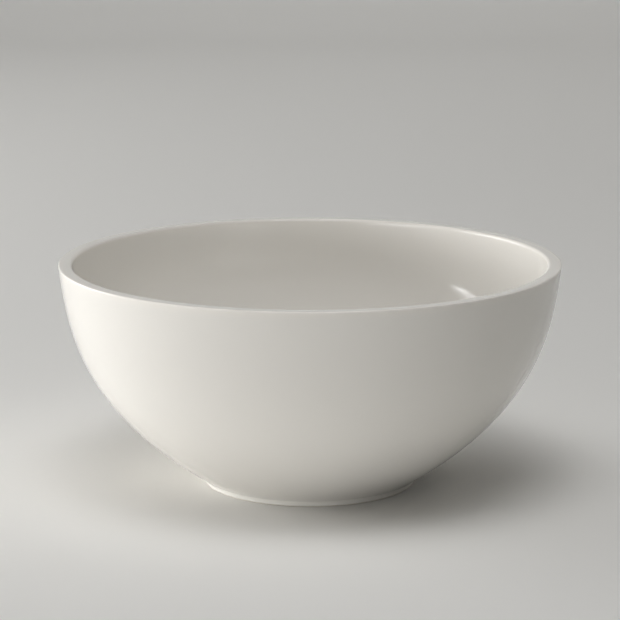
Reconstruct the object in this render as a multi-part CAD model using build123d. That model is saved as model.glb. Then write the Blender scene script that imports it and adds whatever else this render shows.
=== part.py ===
from build123d import *

import os
from math import cos, hypot, radians, sin, tan

# Porcelain serving bowl: a thick fired body, the glaze melted on to it, and a bare foot ring.
#
# The bowl is a body of revolution about Z. Its standing plane is Z = 0 and its rim is up.
# Every outline is drawn as (distance from the axis, height) and then turned about the axis.

# Overall sizes, in millimetres.
rim_diameter = 240.0
bowl_height = 107.7
foot_diameter = 103.0

# The wall and floor, glaze included. The wall is even from the floor up, and swells on its
# food side into a thicker rim over the height of the rim band.
wall_thickness = 4.2
rim_thickness = 6.5
rim_band_height = 36.0
floor_thickness = 6.5
floor_sweep_radius = 60.0

# The outer wall is one cubic curve. It leaves the foot and reaches the rim at these leans
# from the vertical, in degrees. The pulls are shares of its chord that set how full it is.
foot_lean = 57.7
rim_lean = 8.0
foot_pull = 0.585
rim_pull = 0.216

# The inner wall's lean where it meets the rim, in degrees. It is steeper than the outer wall.
rim_inner_lean = 6.2

# The rim's flat top lies between these two edge radii.
rim_outer_radius = 0.6
rim_inner_radius = 1.4

# The foot ring: its width, the edges it stands on, and the recess inside it.
foot_ring_width = 4.6
foot_edge_radius = 0.4
foot_cove_radius = 2.0
well_depth = 2.5
well_cove_radius = 1.0

# The glaze: how thick it is, how far above the standing plane it stops, and how much
# glazed upright band shows between its rounded edge and the foot's cove.
glaze_thickness = 0.3
glaze_line = 0.5
glazed_band = 0.5

# How finely a face's curve is followed where it is drawn through points.
face_stations = 25
# The step, as a share of a face, over which its direction is measured.
direction_step = 1e-4
# How many times a search for a height along a face is halved.
search_halvings = 50

rim_radius = rim_diameter / 2
foot_radius = foot_diameter / 2
well_radius = foot_radius - foot_ring_width
floor_height = well_depth + floor_thickness
cove_height = glaze_line + glaze_thickness + glazed_band
cove_centre = (foot_radius + foot_cove_radius, cove_height)
rim_edge_centre = (rim_radius - rim_outer_radius, bowl_height - rim_outer_radius)


def rising(lean):
    """Unit direction of a wall that rises and leans outward by lean degrees."""
    return sin(radians(lean)), cos(radians(lean))


def facing_out(lean):
    """Unit direction square to such a wall, out of the bowl."""
    return cos(radians(lean)), -sin(radians(lean))


def stepped(point, distance, direction):
    """The point that lies a distance along a direction from another."""
    return tuple(p + distance * d for p, d in zip(point, direction))


def outer_controls():
    """The outer wall's four control points, from the foot's cove up to the rim's edge."""
    start = stepped(cove_centre, -foot_cove_radius, facing_out(foot_lean))
    end = stepped(rim_edge_centre, rim_outer_radius, facing_out(rim_lean))
    chord = hypot(end[0] - start[0], end[1] - start[1])
    low = stepped(start, foot_pull * chord, rising(foot_lean))
    high = stepped(end, -rim_pull * chord, rising(rim_lean))
    return start, low, high, end


def outer_face(share):
    """Point of the outer wall at a share, 0 to 1, of the way up its curve."""
    rest = 1 - share
    weights = (rest**3, 3 * rest**2 * share, 3 * rest * share**2, share**3)
    return tuple(sum(w * p for w, p in zip(weights, axis)) for axis in zip(*outer_controls()))


def thickness_at(height):
    """Wall thickness behind a point of the outer wall at a height. In the rim band it follows
    a cubic that starts level with the wall and ends at the inner wall's lean at the rim."""
    climb = 1 - (bowl_height - height) / rim_band_height
    climb = min(max(climb, 0), 1)
    swell = (rim_thickness - wall_thickness) * climb**2 * (3 - 2 * climb)
    taper = tan(radians(rim_lean - rim_inner_lean)) * rim_band_height * climb**2 * (climb - 1)
    return wall_thickness + swell + taper


def direction(face, share):
    """Unit direction in which a face rises at a share."""
    below = face(share - direction_step)
    above = face(share + direction_step)
    length = hypot(above[0] - below[0], above[1] - below[1])
    return (above[0] - below[0]) / length, (above[1] - below[1]) / length


def moved(face, share, inward):
    """Point of a face at a share, moved inward, square to the face, towards the bowl's inside."""
    across, up = direction(face, share)
    return stepped(face(share), inward, (-up, across))


def food_face(share):
    """Point of the inner wall, behind the outer wall's point at the same share."""
    return moved(outer_face, share, thickness_at(outer_face(share)[1]))


def share_at(face, inward, height):
    """Share at which a face, moved inward, passes a height."""
    low, high = 0.0, 1.0
    for _ in range(search_halvings):
        middle = (low + high) / 2
        if moved(face, middle, inward)[1] < height:
            low = middle
        else:
            high = middle
    return (low + high) / 2


def face_line(face, inward, first, last):
    """Curve of a face between two shares, moved inward."""
    shares = [first + (last - first) * k / (face_stations - 1) for k in range(face_stations)]
    points = [moved(face, share, inward) for share in shares]
    return Spline(points, tangents=(direction(face, first), direction(face, last)))


def arc(centre, radius, first_angle, last_angle):
    """Arc about a centre between two angles, in degrees."""
    return CenterArc(centre, radius, first_angle, last_angle - first_angle)


def lean_at(face, share):
    """Lean of a face from the vertical at a share, in degrees."""
    return Vector(0, 1).get_angle(Vector(*direction(face, share)))


def food_side(depth):
    """Edges from the axis, across the inner floor and up the inner wall to the rim's outer edge,
    at a depth under the surface."""
    sweep_share = share_at(food_face, floor_sweep_radius, floor_height + floor_sweep_radius)
    sweep_centre = moved(food_face, sweep_share, floor_sweep_radius)
    rim_share = share_at(food_face, -rim_inner_radius, bowl_height - rim_inner_radius)
    rim_centre = moved(food_face, rim_share, -rim_inner_radius)
    floor = floor_height - depth
    top = bowl_height - depth
    return [
        Line((0, floor), (sweep_centre[0], floor)),
        arc(sweep_centre, floor_sweep_radius + depth, -90, -lean_at(food_face, sweep_share)),
        face_line(food_face, -depth, sweep_share, rim_share),
        arc(rim_centre, rim_inner_radius - depth, 180 - lean_at(food_face, rim_share), 90),
        Line((rim_centre[0], top), (rim_edge_centre[0], top)),
        arc(rim_edge_centre, rim_outer_radius - depth, 90, -rim_lean),
    ]


def outer_side(depth, lowest):
    """Edges from the rim's outer edge down the outer wall and the foot to a lowest height,
    at a depth under the surface."""
    face = foot_radius - depth
    return [
        face_line(outer_face, depth, 0, 1),
        arc(cove_centre, foot_cove_radius + depth, 180 - foot_lean, 180),
        Line((face, cove_height), (face, lowest)),
    ]


def well_side(depth, lowest):
    """Edges from the axis, across the recess under the floor and down the foot ring's inner face
    to a lowest height, at a depth under the surface."""
    centre = (well_radius - well_cove_radius, well_depth - well_cove_radius)
    ceiling = well_depth + depth
    face = well_radius + depth
    return [
        Line((0, ceiling), (centre[0], ceiling)),
        arc(centre, well_cove_radius + depth, 90, 0),
        Line((face, centre[1]), (face, lowest)),
    ]


def standing_edge():
    """Edges of the bare foot ring below the glaze, with its flat face on the standing plane."""
    outer = foot_radius - glaze_thickness
    inner = well_radius + glaze_thickness
    outer_centre = (outer - foot_edge_radius, foot_edge_radius)
    inner_centre = (inner + foot_edge_radius, foot_edge_radius)
    return [
        Line((outer, glaze_line), (outer, foot_edge_radius)),
        arc(outer_centre, foot_edge_radius, 0, -90),
        Line((outer_centre[0], 0), (inner_centre[0], 0)),
        arc(inner_centre, foot_edge_radius, -90, -180),
        Line((inner, foot_edge_radius), (inner, glaze_line)),
    ]


def glaze_edge(face, side_angle):
    """The rounded edge in which the glaze ends on a bare face of the foot. It bulges from that
    face towards a side angle, in degrees."""
    return [arc((face, glaze_line + glaze_thickness), glaze_thickness, side_angle, -90)]


def axis_edge(low, high):
    """The edge that closes an outline along the axis."""
    return [Line((0, low), (0, high))]


def turned(edges):
    """Solid made by turning a closed outline about the axis."""
    return revolve(Plane.XZ * make_face(edges), Axis.Z)


def porcelain_body():
    """The fired porcelain: wall, floor and foot ring in one piece, bare only where it stands."""
    return turned(
        food_side(glaze_thickness)
        + outer_side(glaze_thickness, glaze_line)
        + standing_edge()
        + well_side(glaze_thickness, glaze_line)
        + axis_edge(well_depth + glaze_thickness, floor_height - glaze_thickness)
    )


def glaze_coat():
    """The glaze over the food side, the rim and the outside, down to the glaze line."""
    return turned(
        food_side(0)
        + outer_side(0, glaze_line + glaze_thickness)
        + glaze_edge(foot_radius - glaze_thickness, 0)
        + outer_side(glaze_thickness, glaze_line)
        + food_side(glaze_thickness)
        + axis_edge(floor_height - glaze_thickness, floor_height)
    )


def well_glaze():
    """The glaze inside the foot ring, over the recess under the floor."""
    return turned(
        well_side(0, glaze_line + glaze_thickness)
        + glaze_edge(well_radius + glaze_thickness, -180)
        + well_side(glaze_thickness, glaze_line)
        + axis_edge(well_depth, well_depth + glaze_thickness)
    )


def main():
    """Build every piece and write each to its own file."""
    os.makedirs("parts", exist_ok=True)
    for piece in (porcelain_body, glaze_coat, well_glaze):
        export_step(piece(), f"parts/{piece.__name__}.step")


main()
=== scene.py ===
"""Looks for the porcelain serving bowl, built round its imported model, and a studio to see it in.

It is laid out as an add-on: the sizes and finishes are properties, each piece has an operator,
and a panel in the sidebar lists them. Run as a script, main() makes everything in order.
Lengths are in metres, +Z is up, and the bowl stands on Z = 0 with its axis at X = Y = 0.
"""

from math import atan2, cos, exp, hypot, pi, radians, sin, tan

import bpy
from bpy.props import FloatProperty, FloatVectorProperty, IntProperty, PointerProperty
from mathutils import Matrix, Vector


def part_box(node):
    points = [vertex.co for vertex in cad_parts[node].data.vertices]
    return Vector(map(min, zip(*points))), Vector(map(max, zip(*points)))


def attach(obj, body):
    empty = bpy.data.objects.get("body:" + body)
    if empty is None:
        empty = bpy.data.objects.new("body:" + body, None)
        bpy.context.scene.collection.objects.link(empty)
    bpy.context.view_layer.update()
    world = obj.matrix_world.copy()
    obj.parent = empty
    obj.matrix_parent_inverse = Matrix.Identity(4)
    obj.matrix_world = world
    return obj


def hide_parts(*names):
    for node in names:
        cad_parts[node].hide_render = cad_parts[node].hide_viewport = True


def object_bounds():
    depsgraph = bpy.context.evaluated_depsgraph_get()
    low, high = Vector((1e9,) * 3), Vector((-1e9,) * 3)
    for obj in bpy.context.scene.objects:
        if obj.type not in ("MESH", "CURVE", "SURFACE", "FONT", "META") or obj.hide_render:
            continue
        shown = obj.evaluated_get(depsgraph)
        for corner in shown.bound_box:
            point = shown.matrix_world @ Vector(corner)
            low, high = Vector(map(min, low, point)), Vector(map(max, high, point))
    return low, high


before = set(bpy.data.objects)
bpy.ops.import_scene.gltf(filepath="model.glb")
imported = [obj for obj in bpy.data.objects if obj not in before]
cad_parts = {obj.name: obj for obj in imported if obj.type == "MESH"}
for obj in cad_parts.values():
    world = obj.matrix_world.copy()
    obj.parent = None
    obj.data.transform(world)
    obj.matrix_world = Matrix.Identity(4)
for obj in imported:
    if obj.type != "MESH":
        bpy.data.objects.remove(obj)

bl_info = {
    "name": "Porcelain Serving Bowl",
    "version": (1, 0, 0),
    "blender": (4, 5, 0),
    "location": "3D View > Sidebar > Bowl",
    "description": "Builds a glazed porcelain serving bowl and a studio around it",
    "category": "Object",
}

MM = 0.001
# The width, in millimetres, of the sensor that the lens's focal length is given for.
SENSOR_WIDTH = 36

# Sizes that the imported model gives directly.
cad_low, cad_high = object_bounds()
body_low, body_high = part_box("porcelain_body")
coat_low, coat_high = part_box("glaze_coat")
well_low, well_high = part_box("well_glaze")
cad_rim_radius = min(-cad_low.x, cad_high.x, -cad_low.y, cad_high.y)
cad_glaze_thickness = coat_high.z - body_high.z
cad_well_radius = min(-well_low.x, well_high.x, -well_low.y, well_high.y) - cad_glaze_thickness
cad_well_depth = well_high.z - cad_glaze_thickness


def linear(hex_colour):
    """Linear RGBA of an sRGB colour written in hex."""
    channels = [int(hex_colour[i : i + 2], 16) / 255 for i in (1, 3, 5)]
    return (*(c / 12.92 if c <= 0.04045 else ((c + 0.055) / 1.055) ** 2.4 for c in channels), 1)


def length(name, description, default):
    """A property that holds a length, in metres."""
    return FloatProperty(name=name, description=description, default=default, min=0, unit="LENGTH",
                         precision=5)


def lean(name, description, degrees):
    """A property that holds a wall's lean from the vertical."""
    return FloatProperty(name=name, description=description, default=radians(degrees),
                         subtype="ANGLE", unit="ROTATION")


def share(name, description, default):
    """A property that holds a share, from 0 to 1."""
    return FloatProperty(name=name, description=description, default=default, min=0, max=1,
                         subtype="FACTOR")


def colour(name, description, hex_colour):
    """A property that holds a colour."""
    return FloatVectorProperty(name=name, description=description, default=linear(hex_colour),
                               size=4, min=0, max=1, subtype="COLOR")


class BowlShape(bpy.types.PropertyGroup):
    """Sizes of the bowl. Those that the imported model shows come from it."""

    rim_radius: length("Rim radius", "Outer radius of the rim", cad_rim_radius)
    height: length("Height", "Height of the rim above the table", cad_high.z)
    wall: length("Wall", "Thickness of the wall, glaze included", 4.2 * MM)
    rim_thickness: length("Rim thickness", "Thickness that the wall swells to at the rim", 6.5 * MM)
    rim_band: length("Rim band", "Height over which the wall swells", 36 * MM)
    floor: length("Floor", "Thickness of the floor, glaze included", 6.5 * MM)
    floor_sweep: length("Floor sweep", "Radius in which the inner floor turns up", 60 * MM)
    foot_lean: lean("Foot lean", "Lean of the outer wall where it leaves the foot", 57.7)
    rim_lean: lean("Rim lean", "Lean of the outer wall where it meets the rim", 8.0)
    rim_inner_lean: lean("Rim inner lean", "Lean of the inner wall where it meets the rim", 6.2)
    foot_pull: share("Foot pull", "How far the wall's curve keeps to its lean at the foot", 0.585)
    rim_pull: share("Rim pull", "How far the wall's curve keeps to its lean at the rim", 0.216)
    rim_outer_edge: length("Rim outer edge", "Radius of the rim's outer edge", 0.6 * MM)
    rim_inner_edge: length("Rim inner edge", "Radius of the rim's inner edge", 1.4 * MM)
    foot_ring: length("Foot ring", "Width of the foot ring", 4.6 * MM)
    foot_edge: length("Foot edge", "Radius of the edges that the bowl stands on", 0.4 * MM)
    foot_cove: length("Foot cove", "Radius of the cove between foot and wall", 2 * MM)
    foot_band: length("Foot band", "Upright glazed band below the cove", 0.5 * MM)
    well_radius: length("Well radius", "Radius of the recess in the foot", cad_well_radius)
    well_depth: length("Well depth", "Depth of the recess in the foot", cad_well_depth)
    well_cove: length("Well cove", "Radius of the cove inside the foot ring", 1 * MM)
    glaze: length("Glaze", "Thickness of the glaze", cad_glaze_thickness)
    glaze_line: length("Glaze line", "Height at which the glaze stops on the foot", coat_low.z)
    turns: IntProperty(name="Turns", description="Faces in each ring round the bowl", default=256,
                       min=3)


class BowlFinish(bpy.types.PropertyGroup):
    """Colours and gloss of the bowl."""

    glaze_colour: colour("Glaze", "White porcelain seen through an even coat of glaze", "#F4F1EB")
    pooled_colour: colour("Pooled glaze", "The same where the glaze lies thick", "#EBEAE4")
    thin_colour: colour("Thin glaze", "The same where the glaze has drawn thin", "#F7F3EC")
    glaze_roughness: share("Glaze roughness", "Roughness of the fired glaze", 0.1)
    glaze_ior: FloatProperty(name="Glaze IOR", description="Refractive index of the glaze",
                             default=1.52, min=1, max=2)
    biscuit_colour: colour("Biscuit", "Bare fired porcelain", "#E3DED3")
    biscuit_worn_colour: colour("Worn biscuit", "Bare porcelain greyed by tables", "#C6C0B5")
    biscuit_roughness: share("Biscuit roughness", "Roughness of the bare porcelain", 0.62)


class BowlStudio(bpy.types.PropertyGroup):
    """Camera and surroundings."""

    camera_distance: length("Camera distance", "Level distance from the bowl's axis", 1.2067)
    camera_height: length("Camera height", "Height above the table", 0.3394)
    camera_tilt: lean("Camera tilt", "How far the camera looks down", 11.982)
    focal_length: FloatProperty(name="Focal length", description="Lens on a 36 mm wide sensor",
                                default=149.1, min=1, unit="CAMERA")
    floor_colour: colour("Floor", "Pale paper under the bowl", "#EDECE9")
    floor_roughness: share("Floor roughness", "Roughness of the paper", 0.85)
    cove_radius: length("Cove radius", "Radius of the paper cove's wall", 4.5)
    cove_bend: length("Cove bend", "Radius of the bend between the cove's floor and wall", 1)
    cove_height: length("Cove height", "Height of the paper cove", 3)
    cove_shift: length("Cove shift", "How far in front of the bowl the cove's middle lies", 1.5)
    light_distance: length("Light distance", "From the bowl's middle to each light on it", 1.7)
    ambient: FloatProperty(name="Ambient", description="Light that comes from all round",
                           default=0.1, min=0)


# Outlines. Each is a list of (distance from the axis, height).


def rising(lean_angle):
    """Unit direction of a wall that rises and leans outward by an angle."""
    return sin(lean_angle), cos(lean_angle)


def facing_out(lean_angle):
    """Unit direction square to such a wall, out of the bowl."""
    return cos(lean_angle), -sin(lean_angle)


def stepped(point, distance, direction):
    """The point that lies a distance along a direction from another."""
    return tuple(p + distance * d for p, d in zip(point, direction))


def line(start, end, steps):
    """Points along a straight line."""
    return [tuple(a + (b - a) * k / steps for a, b in zip(start, end)) for k in range(steps + 1)]


def arc(centre, radius, first, last, steps):
    """Points along an arc between two angles."""
    angles = [first + (last - first) * k / steps for k in range(steps + 1)]
    return [stepped(centre, radius, (cos(angle), sin(angle))) for angle in angles]


class Section:
    """The bowl's cross-section, drawn at any depth under its surface."""

    edge_steps = 8
    face_steps = 110
    sweep_steps = 36
    floor_steps = 16
    direction_step = 1e-4
    search_halvings = 40

    def __init__(self, shape):
        self.shape = shape
        self.foot_radius = shape.well_radius + shape.foot_ring
        self.floor_height = shape.well_depth + shape.floor
        cove_height = shape.glaze_line + shape.glaze + shape.foot_band
        self.cove_centre = (self.foot_radius + shape.foot_cove, cove_height)
        self.rim_edge_centre = (shape.rim_radius - shape.rim_outer_edge,
                                shape.height - shape.rim_outer_edge)
        start = stepped(self.cove_centre, -shape.foot_cove, facing_out(shape.foot_lean))
        end = stepped(self.rim_edge_centre, shape.rim_outer_edge, facing_out(shape.rim_lean))
        chord = hypot(end[0] - start[0], end[1] - start[1])
        low = stepped(start, shape.foot_pull * chord, rising(shape.foot_lean))
        high = stepped(end, -shape.rim_pull * chord, rising(shape.rim_lean))
        self.controls = (start, low, high, end)

    def outer_face(self, along):
        """Point of the outer wall at a share, 0 to 1, of the way up its curve."""
        rest = 1 - along
        weights = (rest**3, 3 * rest**2 * along, 3 * rest * along**2, along**3)
        return tuple(sum(w * p for w, p in zip(weights, axis)) for axis in zip(*self.controls))

    def thickness_at(self, height):
        """Wall thickness behind a point of the outer wall at a height."""
        shape = self.shape
        climb = 1 - (shape.height - height) / shape.rim_band
        climb = min(max(climb, 0), 1)
        swell = (shape.rim_thickness - shape.wall) * climb**2 * (3 - 2 * climb)
        steeper = tan(shape.rim_lean - shape.rim_inner_lean)
        taper = steeper * shape.rim_band * climb**2 * (climb - 1)
        return shape.wall + swell + taper

    def direction(self, face, along):
        """Unit direction in which a face rises."""
        below = face(along - self.direction_step)
        above = face(along + self.direction_step)
        span = hypot(above[0] - below[0], above[1] - below[1])
        return (above[0] - below[0]) / span, (above[1] - below[1]) / span

    def moved(self, face, along, inward):
        """Point of a face moved inward, square to the face."""
        across, up = self.direction(face, along)
        return stepped(face(along), inward, (-up, across))

    def food_face(self, along):
        """Point of the inner wall, behind the outer wall's point at the same share."""
        thickness = self.thickness_at(self.outer_face(along)[1])
        return self.moved(self.outer_face, along, thickness)

    def along_at(self, face, inward, height):
        """Share at which a face, moved inward, passes a height."""
        low, high = 0.0, 1.0
        for _ in range(self.search_halvings):
            middle = (low + high) / 2
            if self.moved(face, middle, inward)[1] < height:
                low = middle
            else:
                high = middle
        return (low + high) / 2

    def face_line(self, face, inward, first, last):
        """Points of a face between two shares, moved inward."""
        shares = line((first,), (last,), self.face_steps)
        return [self.moved(face, along, inward) for (along,) in shares]

    def side_angle(self, face, along):
        """Angle of the direction square to a face, towards the bowl's inside."""
        across, up = self.direction(face, along)
        return atan2(across, -up)

    def food_side(self, depth):
        """From the axis, over the inner floor and up the inner wall to the rim's outer edge."""
        shape = self.shape
        sweep = self.along_at(self.food_face, shape.floor_sweep, self.floor_height + shape.floor_sweep)
        sweep_centre = self.moved(self.food_face, sweep, shape.floor_sweep)
        sweep_end = self.side_angle(self.food_face, sweep) - pi
        rim = self.along_at(self.food_face, -shape.rim_inner_edge, shape.height - shape.rim_inner_edge)
        rim_centre = self.moved(self.food_face, rim, -shape.rim_inner_edge)
        rim_start = self.side_angle(self.food_face, rim)
        floor, top = self.floor_height - depth, shape.height - depth
        return [
            line((0, floor), (sweep_centre[0], floor), self.floor_steps),
            arc(sweep_centre, shape.floor_sweep + depth, -pi / 2, sweep_end, self.sweep_steps),
            self.face_line(self.food_face, -depth, sweep, rim),
            arc(rim_centre, shape.rim_inner_edge - depth, rim_start, pi / 2, self.edge_steps),
            line((rim_centre[0], top), (self.rim_edge_centre[0], top), self.edge_steps),
            arc(self.rim_edge_centre, shape.rim_outer_edge - depth, pi / 2, -shape.rim_lean,
                self.edge_steps),
        ]

    def outer_side(self, depth, lowest):
        """From the rim's outer edge down the outer wall and the foot to a lowest height."""
        face = self.foot_radius - depth
        cove_start = pi - self.shape.foot_lean
        cove = arc(self.cove_centre, self.shape.foot_cove + depth, cove_start, pi, self.edge_steps)
        return [
            self.face_line(self.outer_face, depth, 1, 0),
            cove,
            line((face, self.cove_centre[1]), (face, lowest), self.edge_steps),
        ]

    def well_side(self, depth, lowest):
        """From the axis, over the recess and down the foot ring's inner face."""
        shape = self.shape
        centre = (shape.well_radius - shape.well_cove, shape.well_depth - shape.well_cove)
        ceiling, face = shape.well_depth + depth, shape.well_radius + depth
        return [
            line((0, ceiling), (centre[0], ceiling), self.floor_steps),
            arc(centre, shape.well_cove + depth, pi / 2, 0, self.edge_steps),
            line((face, centre[1]), (face, lowest), self.edge_steps),
        ]

    def standing_edge(self):
        """The bare foot ring below the glaze, from its outer face to its inner one."""
        shape = self.shape
        edge = shape.foot_edge
        outer = self.foot_radius - shape.glaze
        inner = shape.well_radius + shape.glaze
        return [
            line((outer, shape.glaze_line), (outer, edge), 1),
            arc((outer - edge, edge), edge, 0, -pi / 2, self.edge_steps),
            line((outer - edge, 0), (inner + edge, 0), self.edge_steps),
            arc((inner + edge, edge), edge, -pi / 2, -pi, self.edge_steps),
            line((inner, edge), (inner, shape.glaze_line), 1),
        ]

    def glaze_edge(self, face, side_angle):
        """The rounded edge in which the glaze ends on a bare face of the foot."""
        centre = (face, self.shape.glaze_line + self.shape.glaze)
        return [arc(centre, self.shape.glaze, side_angle, -pi / 2, self.edge_steps)]

    def porcelain_outline(self):
        """The fired porcelain under its glaze, from the inner floor round to the recess."""
        glaze, glaze_line = self.shape.glaze, self.shape.glaze_line
        down = self.food_side(glaze) + self.outer_side(glaze, glaze_line) + self.standing_edge()
        return joined(*down, *backwards(self.well_side(glaze, glaze_line)))

    def coat_outline(self):
        """The glaze coat: its surface down to the foot, and the porcelain under it back up."""
        glaze, glaze_line = self.shape.glaze, self.shape.glaze_line
        surface = self.food_side(0) + self.outer_side(0, glaze_line + glaze)
        edge = self.glaze_edge(self.foot_radius - glaze, 0)
        under = self.food_side(glaze) + self.outer_side(glaze, glaze_line)
        return joined(*surface, *edge, *backwards(under))

    def well_outline(self):
        """The recess's glaze: the porcelain over it, and its surface back to the axis."""
        glaze, glaze_line = self.shape.glaze, self.shape.glaze_line
        over = self.well_side(glaze, glaze_line)
        edge = self.glaze_edge(self.shape.well_radius + glaze, -pi)
        surface = self.well_side(0, glaze_line + glaze)
        return joined(*over, *backwards(edge), *backwards(surface))


def backwards(runs):
    """The same runs of points, followed from the last to the first."""
    return [run[::-1] for run in reversed(runs)]


def joined(*runs):
    """One outline out of runs of points, with each shared end kept once."""
    closest = 1e-7
    outline = list(runs[0])
    for run in runs[1:]:
        for point in run:
            if hypot(point[0] - outline[-1][0], point[1] - outline[-1][1]) > closest:
                outline.append(point)
    return outline


# Meshes.


def turned(name, outline, turns, sharp_angle=radians(40)):
    """An object made by turning an outline that starts and ends on the axis."""
    rings = outline[1:-1]
    spokes = [(cos(2 * pi * k / turns), sin(2 * pi * k / turns)) for k in range(turns)]
    vertices = [(0, 0, outline[0][1])]
    vertices += [(r * c, r * s, z) for r, z in rings for c, s in spokes]
    vertices.append((0, 0, outline[-1][1]))
    last = len(vertices) - 1
    faces = []
    for k in range(turns):
        following = (k + 1) % turns
        faces.append((0, 1 + k, 1 + following))
        for ring in range(len(rings) - 1):
            here, there = 1 + ring * turns, 1 + (ring + 1) * turns
            faces.append((here + k, there + k, there + following, here + following))
        end = 1 + (len(rings) - 1) * turns
        faces.append((end + k, last, end + following))
    mesh = bpy.data.meshes.new(name)
    mesh.from_pydata(vertices, [], faces)
    mesh.shade_smooth()
    mesh.set_sharp_from_angle(angle=sharp_angle)
    piece = bpy.data.objects.new(name, mesh)
    bpy.context.scene.collection.objects.link(piece)
    return piece


def placed(piece, node, material):
    """Finishes a piece: its material, the body it rides on and the CAD node that it stands for."""
    piece.data.materials.append(material)
    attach(piece, "root")
    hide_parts(node)


# Materials.


def add_node(tree, kind, inputs=(), **settings):
    """Adds a node with its settings, and gives each named input a value or links it to an output."""
    node = tree.nodes.new(kind)
    for name, value in settings.items():
        setattr(node, name, value)
    for name, value in dict(inputs).items():
        if isinstance(value, bpy.types.NodeSocket):
            tree.links.new(value, node.inputs[name])
        else:
            node.inputs[name].default_value = value
    return node


def new_material(name):
    """An empty node material and its tree."""
    material = bpy.data.materials.new(name)
    material.use_nodes = True
    material.node_tree.nodes.clear()
    return material, material.node_tree


def glazed_porcelain(finish):
    """Clear feldspathic glaze, dipped over white porcelain and fired to a gloss. The eye gets a
    sharp, even shine with a faint orange peel, over a warm white that deepens where it pools."""
    material, tree = new_material("glazed_porcelain")
    place = add_node(tree, "ShaderNodeTexCoord").outputs["Object"]
    depth = add_node(tree, "ShaderNodeAttribute", attribute_name="glaze_depth").outputs["Fac"]
    drift_size = 40 * MM
    depth_drift = 0.08
    roughness_drift = 0.1
    drift = add_node(tree, "ShaderNodeTexNoise",
                     {"Vector": place, "Scale": 1 / drift_size, "Detail": 2}).outputs["Fac"]
    peel_size = 7 * MM
    peel_height = 0.006 * MM
    peel = add_node(tree, "ShaderNodeTexNoise",
                    {"Vector": place, "Scale": 1 / peel_size, "Detail": 1}).outputs["Fac"]
    unevenness = add_node(tree, "ShaderNodeMapRange",
                          {"Value": drift, "To Min": -depth_drift, "To Max": depth_drift}).outputs["Result"]
    uneven_depth = add_node(tree, "ShaderNodeMath", {0: depth, 1: unevenness}).outputs["Value"]
    ramp = add_node(tree, "ShaderNodeValToRGB", {"Fac": uneven_depth})
    ramp.color_ramp.elements[0].color = finish.thin_colour
    ramp.color_ramp.elements[1].color = finish.pooled_colour
    even_depth = 0.5
    ramp.color_ramp.elements.new(even_depth).color = finish.glaze_colour
    roughness = add_node(tree, "ShaderNodeMapRange",
                         {"Value": drift,
                          "To Min": finish.glaze_roughness * (1 - roughness_drift),
                          "To Max": finish.glaze_roughness * (1 + roughness_drift),
                          }).outputs["Result"]
    bump = add_node(tree, "ShaderNodeBump",
                    {"Strength": 1, "Distance": peel_height, "Height": peel}).outputs["Normal"]
    shader = add_node(tree, "ShaderNodeBsdfPrincipled",
                      {"Base Color": ramp.outputs["Color"], "Roughness": roughness,
                       "IOR": finish.glaze_ior, "Normal": bump})
    add_node(tree, "ShaderNodeOutputMaterial", {"Surface": shader.outputs["BSDF"]})
    return material


def bare_biscuit(finish):
    """Bare vitrified porcelain, rubbed smooth where it stands. The eye gets a matt stone-like
    white with a fine grit, greyed in patches by the tables it has stood on."""
    material, tree = new_material("bare_biscuit")
    place = add_node(tree, "ShaderNodeTexCoord").outputs["Object"]
    patch_size = 5 * MM
    patches = add_node(tree, "ShaderNodeTexNoise",
                       {"Vector": place, "Scale": 1 / patch_size, "Detail": 4}).outputs["Fac"]
    grit_size = 0.35 * MM
    grit_height = 0.03 * MM
    grit = add_node(tree, "ShaderNodeTexNoise",
                    {"Vector": place, "Scale": 1 / grit_size, "Detail": 3}).outputs["Fac"]
    wear_starts, wear_full = 0.4, 0.75
    wear = add_node(tree, "ShaderNodeMapRange",
                    {"Value": patches, "From Min": wear_starts,
                     "From Max": wear_full}).outputs["Result"]
    tone = add_node(tree, "ShaderNodeMix",
                    {"Factor": wear, 6: finish.biscuit_colour, 7: finish.biscuit_worn_colour},
                    data_type="RGBA")
    bump = add_node(tree, "ShaderNodeBump",
                    {"Strength": 1, "Distance": grit_height, "Height": grit}).outputs["Normal"]
    shader = add_node(tree, "ShaderNodeBsdfPrincipled",
                      {"Base Color": tone.outputs[2], "Roughness": finish.biscuit_roughness,
                       "Normal": bump})
    add_node(tree, "ShaderNodeOutputMaterial", {"Surface": shader.outputs["BSDF"]})
    return material


def paper_cove(studio):
    """Uncoated background paper. The eye gets an even matt tone with the faintest tooth."""
    material, tree = new_material("paper_cove")
    place = add_node(tree, "ShaderNodeTexCoord").outputs["Object"]
    tooth_size = 1.5 * MM
    tooth_height = 0.05 * MM
    tooth = add_node(tree, "ShaderNodeTexNoise",
                     {"Vector": place, "Scale": 1 / tooth_size, "Detail": 2}).outputs["Fac"]
    bump = add_node(tree, "ShaderNodeBump",
                    {"Strength": 1, "Distance": tooth_height, "Height": tooth}).outputs["Normal"]
    shader = add_node(tree, "ShaderNodeBsdfPrincipled",
                      {"Base Color": studio.floor_colour, "Roughness": studio.floor_roughness,
                       "Normal": bump})
    add_node(tree, "ShaderNodeOutputMaterial", {"Surface": shader.outputs["BSDF"]})
    return material


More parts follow.
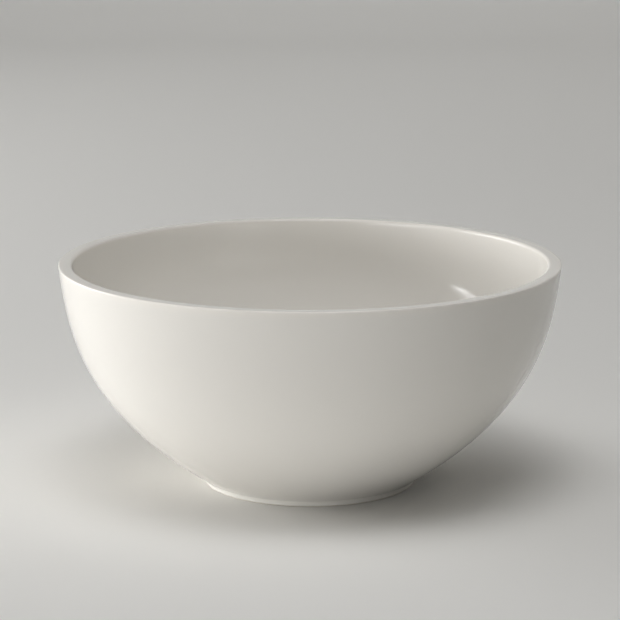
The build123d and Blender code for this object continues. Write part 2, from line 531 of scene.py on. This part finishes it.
def glaze_depths(piece, section):
    """Writes how deep the glaze lies at each point: 0.5 where even, more in the coves where it
    pools, and less over the rim's edges, where it draws thin."""
    shape = section.shape
    reach = 2 * MM
    even = 0.5
    rim_inner = (shape.rim_radius - shape.rim_thickness, shape.height)
    well_corner = (shape.well_radius, shape.well_depth)
    pools = (section.cove_centre, well_corner)
    edges = (section.rim_edge_centre, rim_inner)
    depths = []
    for vertex in piece.data.vertices:
        point = (hypot(vertex.co.x, vertex.co.y), vertex.co.z)
        near = [exp(-(hypot(point[0] - r, point[1] - z) / reach) ** 2) for r, z in pools + edges]
        pooling, thinning = max(near[: len(pools)]), max(near[len(pools) :])
        depths.append(even + even * pooling - even * thinning)
    attribute = piece.data.attributes.new("glaze_depth", "FLOAT", "POINT")
    attribute.data.foreach_set("value", depths)


# Operators.


class BOWL_OT_porcelain_body(bpy.types.Operator):
    """Makes the fired porcelain with its bare standing ring"""

    bl_idname = "bowl.porcelain_body"
    bl_label = "Porcelain body"

    def execute(self, context):
        section = Section(context.scene.bowl_shape)
        piece = turned("bowl_porcelain", section.porcelain_outline(), section.shape.turns)
        placed(piece, "porcelain_body", bare_biscuit(context.scene.bowl_finish))
        return {"FINISHED"}


class BOWL_OT_glaze_coat(bpy.types.Operator):
    """Makes the glaze over the food side, the rim and the outside"""

    bl_idname = "bowl.glaze_coat"
    bl_label = "Glaze coat"

    def execute(self, context):
        section = Section(context.scene.bowl_shape)
        piece = turned("bowl_glaze", section.coat_outline(), section.shape.turns)
        glaze_depths(piece, section)
        placed(piece, "glaze_coat", glazed_porcelain(context.scene.bowl_finish))
        return {"FINISHED"}


class BOWL_OT_well_glaze(bpy.types.Operator):
    """Makes the glaze in the recess inside the foot ring"""

    bl_idname = "bowl.well_glaze"
    bl_label = "Well glaze"

    def execute(self, context):
        section = Section(context.scene.bowl_shape)
        piece = turned("bowl_well_glaze", section.well_outline(), section.shape.turns)
        glaze_depths(piece, section)
        placed(piece, "well_glaze", glazed_porcelain(context.scene.bowl_finish))
        return {"FINISHED"}


def soft_light(name, azimuth, elevation, target, distance, width, height, radiance):
    """A feathered softbox that faces a target. Azimuth 0 is the camera's side, and 90 is +X."""
    across, up = radians(azimuth), radians(elevation)
    way = Vector((sin(across) * cos(up), -cos(across) * cos(up), sin(up)))
    location = Vector(target) + way * distance
    lamp = bpy.data.lights.new(name, "AREA")
    lamp.shape = "ELLIPSE"
    lamp.size = width
    lamp.size_y = height
    lamp.energy = radiance * pi * pi * width * height / 4
    lamp.use_nodes = True
    tree = lamp.node_tree
    spot = add_node(tree, "ShaderNodeNewGeometry").outputs["Parametric"]
    reach = add_node(tree, "ShaderNodeVectorMath", {0: spot, 1: (0.5, 0.5, 0)},
                     operation="DISTANCE").outputs["Value"]
    feather = add_node(tree, "ShaderNodeMapRange",
                       {"Value": reach, "From Min": 0, "From Max": 0.5, "To Min": 1, "To Max": 0},
                       interpolation_type="SMOOTHSTEP").outputs["Result"]
    tree.links.new(feather, tree.nodes["Emission"].inputs["Strength"])
    light = bpy.data.objects.new(name, lamp)
    light.location = location
    light.rotation_euler = (-way).to_track_quat("-Z", "Y").to_euler()
    light.visible_camera = False
    bpy.context.scene.collection.objects.link(light)
    return light


def cove_mesh(radius, bend, height, steps=24, turns=128):
    """A paper cove all round the set: flat floor, a quarter-round bend, and an upright wall."""
    side = [(radius - bend, 0)]
    for k in range(1, steps + 1):
        turn = pi / 2 * k / steps
        side.append((radius - bend + bend * sin(turn), bend - bend * cos(turn)))
    side.append((radius, height))
    vertices = []
    for k in range(turns):
        across, back = cos(2 * pi * k / turns), sin(2 * pi * k / turns)
        vertices += [(r * across, r * back, z) for r, z in side]
    rows = len(side)
    faces = [[k * rows for k in range(turns)]]
    for k in range(turns):
        here, there = k * rows, (k + 1) % turns * rows
        faces += [(here + i, here + i + 1, there + i + 1, there + i) for i in range(rows - 1)]
    mesh = bpy.data.meshes.new("paper_cove")
    mesh.from_pydata(vertices, [], faces)
    mesh.shade_smooth()
    return mesh


class BOWL_OT_studio(bpy.types.Operator):
    """Makes the floor, the lights and the camera"""

    bl_idname = "bowl.studio"
    bl_label = "Studio"

    def execute(self, context):
        scene = context.scene
        studio = scene.bowl_studio
        mesh = cove_mesh(studio.cove_radius, studio.cove_bend, studio.cove_height)
        cove = bpy.data.objects.new("paper_cove", mesh)
        cove.location.y = -studio.cove_shift
        cove.data.materials.append(paper_cove(studio))
        scene.collection.objects.link(cove)

        middle = (0, 0, scene.bowl_shape.height / 2)
        distance = studio.light_distance
        # Broad and low on the left: it shapes the outer wall.
        soft_light("key_light", target=middle, distance=distance, azimuth=250, elevation=8,
                   width=2.4, height=1.0, radiance=12.5)
        # Small, like a window: it is mirrored as a short streak inside the bowl.
        soft_light("window_light", target=middle, distance=distance, azimuth=272, elevation=11.5,
                   width=0.55, height=0.18, radiance=8)
        # Low in front on the left: it lights the wall down to the foot.
        soft_light("front_light", target=middle, distance=distance, azimuth=312, elevation=1,
                   width=2.4, height=0.55, radiance=10.5)
        # Nearly overhead: it lights the inside and the rim's top.
        soft_light("top_light", target=middle, distance=distance, azimuth=0, elevation=76,
                   width=1.7, height=1.5, radiance=6.4)
        # It faces away from the bowl, and lights the paper behind it.
        behind = (0, 2.6, 0.8)
        soft_light("backdrop_light", target=behind, distance=1.5, azimuth=0, elevation=35,
                   width=3.4, height=1.0, radiance=3)

        world = bpy.data.worlds.new("studio_room")
        world.use_nodes = True
        background = world.node_tree.nodes["Background"]
        background.inputs["Color"].default_value = linear("#FFFFFF")
        background.inputs["Strength"].default_value = studio.ambient
        scene.world = world
        scene.view_settings.view_transform = "Standard"

        lens = bpy.data.cameras.new("studio_camera")
        lens.sensor_width = SENSOR_WIDTH
        lens.lens = studio.focal_length
        camera = bpy.data.objects.new("studio_camera", lens)
        camera.location = (0, -studio.camera_distance, studio.camera_height)
        camera.rotation_euler = (pi / 2 - studio.camera_tilt, 0, 0)
        scene.collection.objects.link(camera)
        scene.camera = camera
        return {"FINISHED"}


class BOWL_PT_build(bpy.types.Panel):
    """Sizes, finishes and the steps that build the bowl"""

    bl_idname = "BOWL_PT_build"
    bl_label = "Porcelain bowl"
    bl_space_type = "VIEW_3D"
    bl_region_type = "UI"
    bl_category = "Bowl"

    def draw(self, context):
        for group in (context.scene.bowl_shape, context.scene.bowl_finish, context.scene.bowl_studio):
            box = self.layout.box()
            for name in group.__annotations__:
                box.prop(group, name)
        for operator in OPERATORS:
            self.layout.operator(operator.bl_idname)


GROUPS = {"bowl_shape": BowlShape, "bowl_finish": BowlFinish, "bowl_studio": BowlStudio}
OPERATORS = (BOWL_OT_porcelain_body, BOWL_OT_glaze_coat, BOWL_OT_well_glaze, BOWL_OT_studio)


def register():
    """Registers every class and hangs the property groups on the scene."""
    for cls in (*GROUPS.values(), *OPERATORS, BOWL_PT_build):
        bpy.utils.register_class(cls)
    for name, group in GROUPS.items():
        setattr(bpy.types.Scene, name, PointerProperty(type=group))


def unregister():
    """Undoes register, in reverse."""
    for name in GROUPS:
        delattr(bpy.types.Scene, name)
    for cls in reversed((*GROUPS.values(), *OPERATORS, BOWL_PT_build)):
        bpy.utils.unregister_class(cls)


def main():
    """Builds every piece and the studio."""
    register()
    bpy.ops.bowl.porcelain_body()
    bpy.ops.bowl.glaze_coat()
    bpy.ops.bowl.well_glaze()
    bpy.ops.bowl.studio()


if __name__ == "__main__":
    main()
